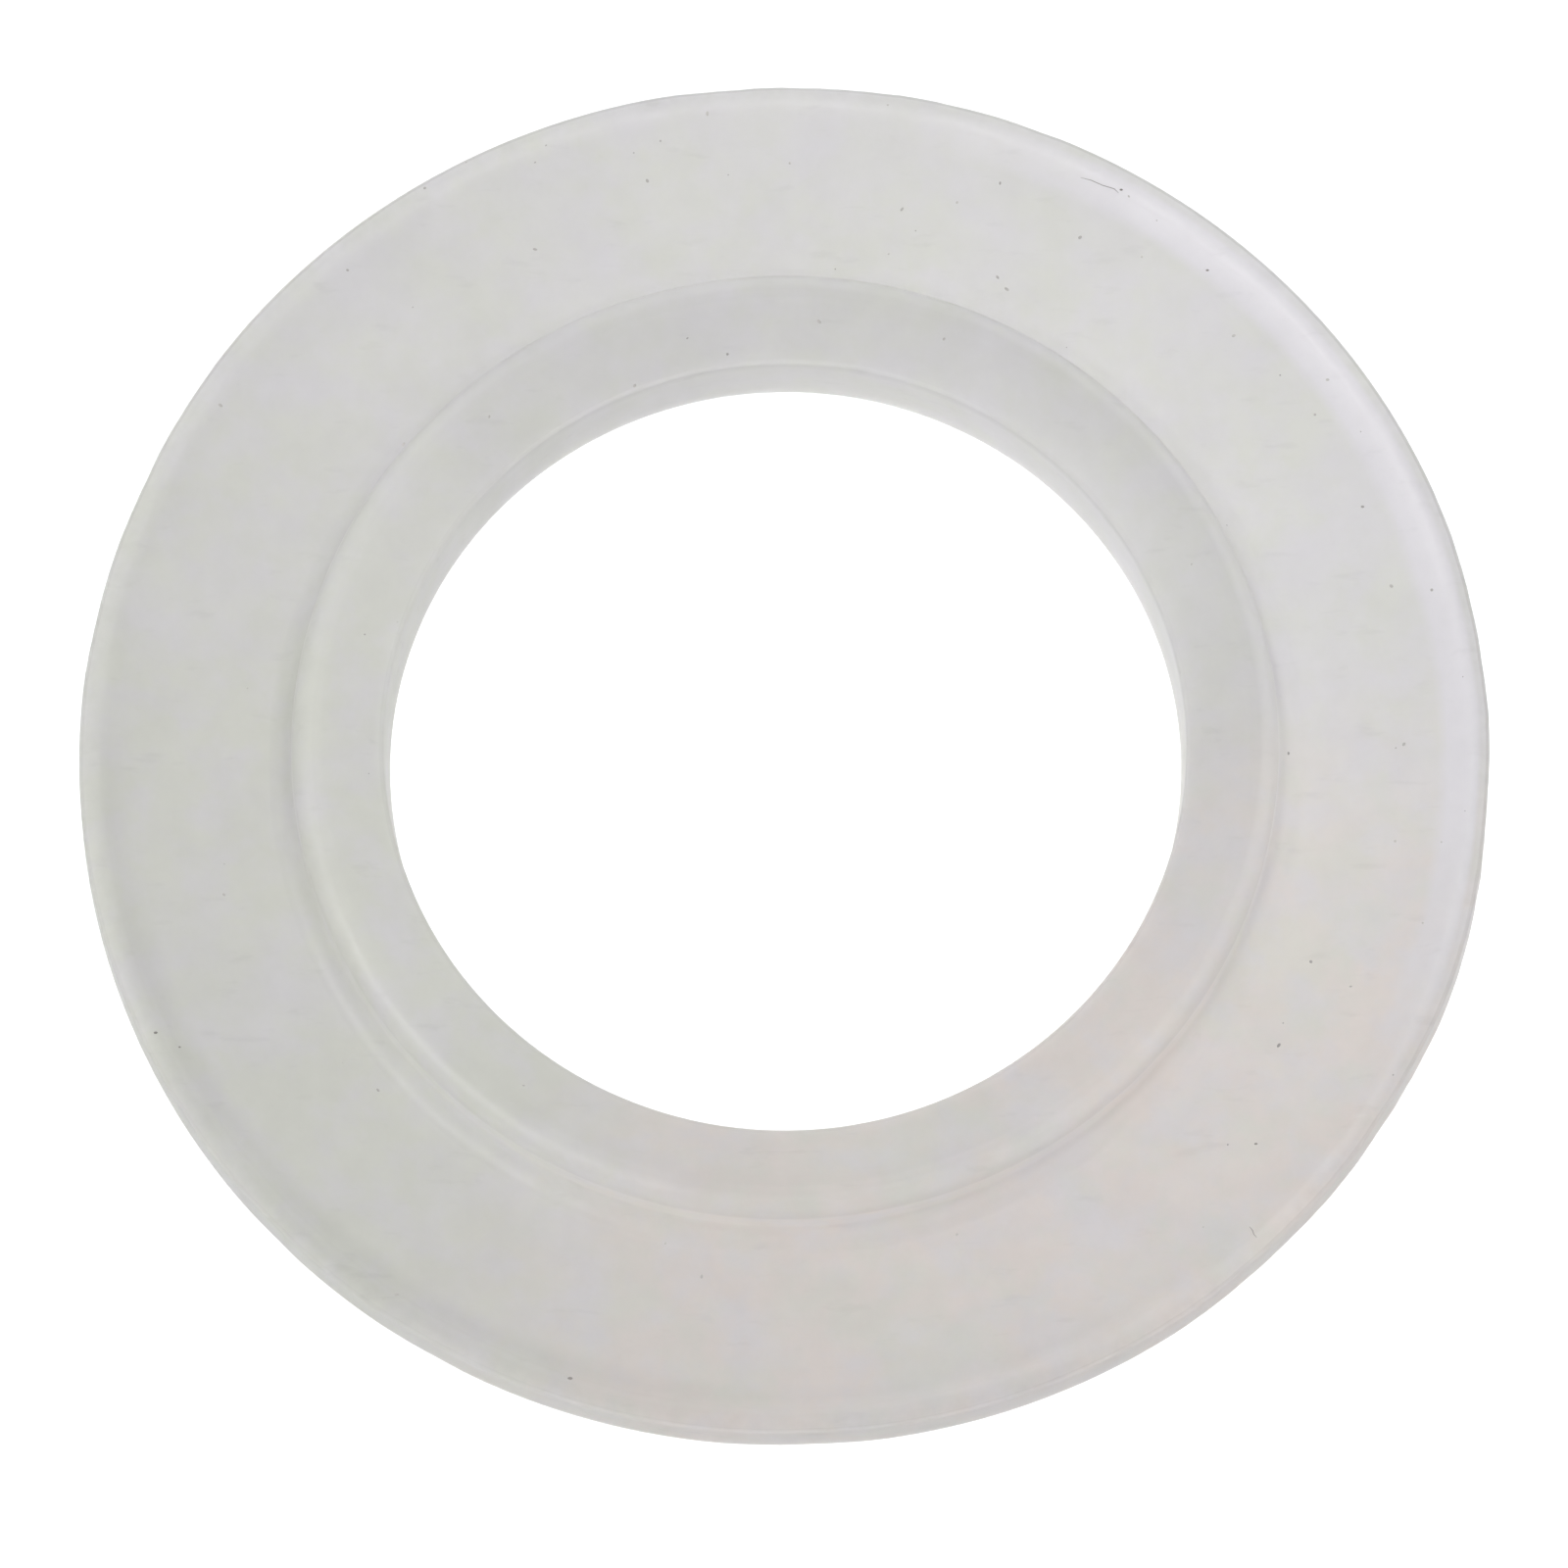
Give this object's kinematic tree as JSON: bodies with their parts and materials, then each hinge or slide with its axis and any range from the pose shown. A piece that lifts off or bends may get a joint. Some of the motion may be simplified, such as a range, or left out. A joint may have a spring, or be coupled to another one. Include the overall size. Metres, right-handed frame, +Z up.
{
  "type": "basin plug washer",
  "caption": "Soft round sealing washer with a raised hub round its bore and a wide, dished flange whose edge turns up to a low crest.",
  "frame": {"origin": "centre of the flat underside, on the bore's axis", "axes": "+Z up along the bore's axis, from the underside towards the hub's top; the ring is round, so +X and +Y are free"},
  "size_m": [0.06, 0.06, 0.0042],
  "materials": {
    "silicone": "milky translucent silicone, satin"
  },
  "bodies": {
    "root": {"plug_washer": "silicone"}
  },
  "joints": []
}
